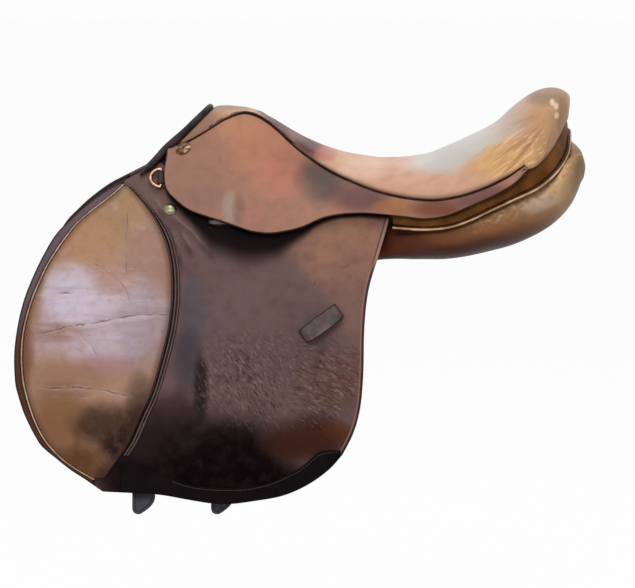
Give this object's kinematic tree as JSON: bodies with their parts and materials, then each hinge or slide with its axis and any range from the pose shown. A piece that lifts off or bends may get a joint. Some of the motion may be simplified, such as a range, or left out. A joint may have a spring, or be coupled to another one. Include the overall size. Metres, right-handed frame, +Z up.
{
  "type": "close-contact jumping saddle",
  "caption": "English jumping saddle in tan and dark brown leather, with lifting flaps and skirts, knee pads, stuffed panels, stirrup bars and girth straps.",
  "frame": {"origin": "on the plane of symmetry, level with the underside of the panels below the lowest part of the seat", "axes": "+X runs to the cantle, +Z is up, and -Y is the near (left) side"},
  "size_m": [0.6246, 0.3592, 0.4583],
  "materials": {
    "seat_leather": "smooth tan leather, polished by use",
    "skirt_leather": "orange-brown leather with reddish patches",
    "flap_leather": "dark brown pebbled leather",
    "pad_leather": "light tan leather, creased and glossy",
    "panel_leather": "golden tan leather",
    "edge_leather": "dark piping and edge leather",
    "billet_leather": "dark grey strap leather",
    "beech": "laminated beech, sealed",
    "webbing": "woven linen webbing",
    "foam": "seat foam under the cover",
    "brass": "dull brass",
    "steel": "forged steel, satin"
  },
  "bodies": {
    "tree": {"tree_head": "beech", "cantle_board": "beech", "near_tree_rail": "beech", "off_tree_rail": "beech", "head_plate": "steel", "gullet_plate": "steel", "near_spring_steel": "steel", "off_spring_steel": "steel", "front_girth_web": "webbing", "rear_girth_web": "webbing", "seat_web": "webbing", "seat_foam": "foam", "seat_cover": "seat_leather", "near_seat_welt": "skirt_leather", "off_seat_welt": "skirt_leather", "pommel_facing": "edge_leather", "cantle_facing": "skirt_leather", "panel_welt": "edge_leather", "near_skirt_top": "skirt_leather", "off_skirt_top": "skirt_leather", "near_flap_head": "flap_leather", "off_flap_head": "flap_leather", "near_knee_facing": "pad_leather", "off_knee_facing": "pad_leather", "near_sweat_flap": "panel_leather", "off_sweat_flap": "panel_leather", "near_point_pocket": "flap_leather", "off_point_pocket": "flap_leather", "near_panel": "panel_leather", "off_panel": "panel_leather", "near_stirrup_bar": "steel", "off_stirrup_bar": "steel", "near_dee_chape": "flap_leather", "off_dee_chape": "flap_leather", "near_badge_stud": "brass", "off_badge_stud": "brass", "near_flap_nail": "brass", "off_flap_nail": "brass"},
    "near_flap": {"near_flap": "flap_leather", "near_knee_pad": "pad_leather", "near_flap_welt": "edge_leather", "near_flap_hem": "edge_leather", "near_keeper": "flap_leather"},
    "off_flap": {"off_flap": "flap_leather", "off_knee_pad": "pad_leather", "off_flap_welt": "edge_leather", "off_flap_hem": "edge_leather", "off_keeper": "flap_leather"},
    "near_skirt": {"near_skirt": "skirt_leather"},
    "off_skirt": {"off_skirt": "skirt_leather"},
    "near_bar_catch": {"near_bar_catch": "steel"},
    "off_bar_catch": {"off_bar_catch": "steel"},
    "near_dee": {"near_dee": "brass"},
    "off_dee": {"off_dee": "brass"},
    "near_front_billet": {"near_front_billet": "billet_leather"},
    "off_front_billet": {"off_front_billet": "billet_leather"},
    "near_middle_billet": {"near_middle_billet": "billet_leather"},
    "off_middle_billet": {"off_middle_billet": "billet_leather"},
    "near_rear_billet": {"near_rear_billet": "billet_leather"},
    "off_rear_billet": {"off_rear_billet": "billet_leather"}
  },
  "joints": [
    {"name": "near_flap_lift", "type": "hinge", "parent": "tree", "child": "near_flap", "pos_m": [-0.1405, -0.11114, 0.032], "axis": [-1, 0, 0], "range_deg": [0, 70]},
    {"name": "off_flap_lift", "type": "hinge", "parent": "tree", "child": "off_flap", "pos_m": [-0.1405, 0.11114, 0.032], "axis": [1, 0, 0], "range_deg": [0, 70]},
    {"name": "near_skirt_lift", "type": "hinge", "parent": "tree", "child": "near_skirt", "pos_m": [-0.262, -0.081, 0.1], "axis": [-0.9682, 0.1385, 0.2082], "range_deg": [0, 75]},
    {"name": "off_skirt_lift", "type": "hinge", "parent": "tree", "child": "off_skirt", "pos_m": [-0.262, 0.081, 0.1], "axis": [0.9682, 0.1385, -0.2082], "range_deg": [0, 75]},
    {"name": "near_catch_lift", "type": "hinge", "parent": "tree", "child": "near_bar_catch", "pos_m": [-0.144, -0.095, 0.046], "axis": [0, -1, 0], "range_deg": [0, 80]},
    {"name": "off_catch_lift", "type": "hinge", "parent": "tree", "child": "off_bar_catch", "pos_m": [-0.144, 0.095, 0.046], "axis": [0, -1, 0], "range_deg": [0, 80]},
    {"name": "near_dee_swing", "type": "hinge", "parent": "tree", "child": "near_dee", "pos_m": [-0.266, -0.07652, 0.09379], "axis": [0, 0.5816, 0.8135], "range_deg": [0, 100]},
    {"name": "off_dee_swing", "type": "hinge", "parent": "tree", "child": "off_dee", "pos_m": [-0.266, 0.07652, 0.09379], "axis": [0, 0.5816, -0.8135], "range_deg": [0, 100]},
    {"name": "near_front_billet_swing", "type": "hinge", "parent": "tree", "child": "near_front_billet", "pos_m": [-0.288, -0.10271, 0.025], "axis": [0, 1, 0], "range_deg": [-4, 4]},
    {"name": "off_front_billet_swing", "type": "hinge", "parent": "tree", "child": "off_front_billet", "pos_m": [-0.288, 0.10271, 0.025], "axis": [0, 1, 0], "range_deg": [-4, 4]},
    {"name": "near_middle_billet_swing", "type": "hinge", "parent": "tree", "child": "near_middle_billet", "pos_m": [-0.245, -0.09716, 0.025], "axis": [0, 1, 0], "range_deg": [-4, 4]},
    {"name": "off_middle_billet_swing", "type": "hinge", "parent": "tree", "child": "off_middle_billet", "pos_m": [-0.245, 0.09716, 0.025], "axis": [0, 1, 0], "range_deg": [-4, 4]},
    {"name": "near_rear_billet_swing", "type": "hinge", "parent": "tree", "child": "near_rear_billet", "pos_m": [-0.202, -0.10271, 0.025], "axis": [0, 1, 0], "range_deg": [-4, 4]},
    {"name": "off_rear_billet_swing", "type": "hinge", "parent": "tree", "child": "off_rear_billet", "pos_m": [-0.202, 0.10271, 0.025], "axis": [0, 1, 0], "range_deg": [-4, 4]}
  ]
}
